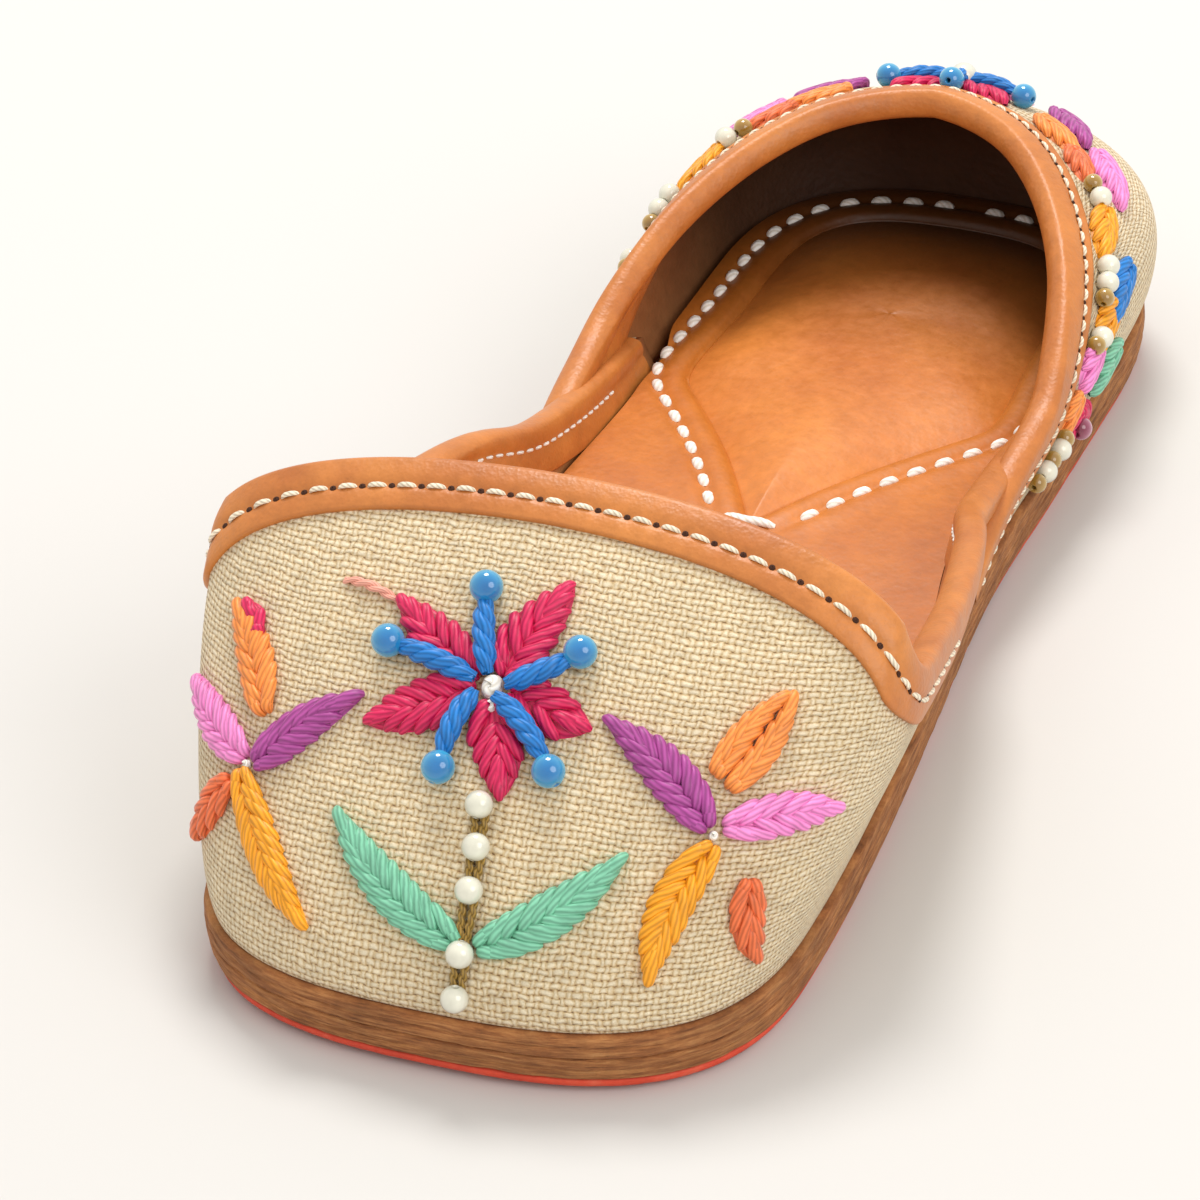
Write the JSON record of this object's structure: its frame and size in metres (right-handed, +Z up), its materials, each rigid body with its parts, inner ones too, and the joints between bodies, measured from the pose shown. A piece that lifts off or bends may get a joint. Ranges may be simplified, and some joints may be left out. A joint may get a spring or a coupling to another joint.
{
  "type": "mojari shoe",
  "caption": "Flat slip-on mojari shoe with a wide bound throat, low wings, a separate heel quarter, embroidered canvas upper and stacked leather sole.",
  "frame": {"origin": "middle of the shoe's length and width, on the floor that its sole stands on", "axes": "+Y from toe to heel, +Z up, +X to the right when the toe is looked at from the front"},
  "size_m": [0.105, 0.236, 0.0624],
  "materials": {
    "outsole": "thin red-orange sole leather, slightly scuffed",
    "midsole": "stacked brown vegetable-tanned leather, fibrous cut edge",
    "canvas": "coarse undyed jute and cotton canvas, plain weave",
    "binding": "smooth tan leather, fine grain, folded and stitched",
    "sock": "smooth orange-tan leather, satin"
  },
  "bodies": {
    "root": {"outsole": "outsole", "midsole": "midsole", "upper": "canvas", "throat_binding": "binding", "collar_binding": "binding", "insole": "sock", "sock_cover": "sock", "heel_pad": "sock"}
  },
  "joints": []
}
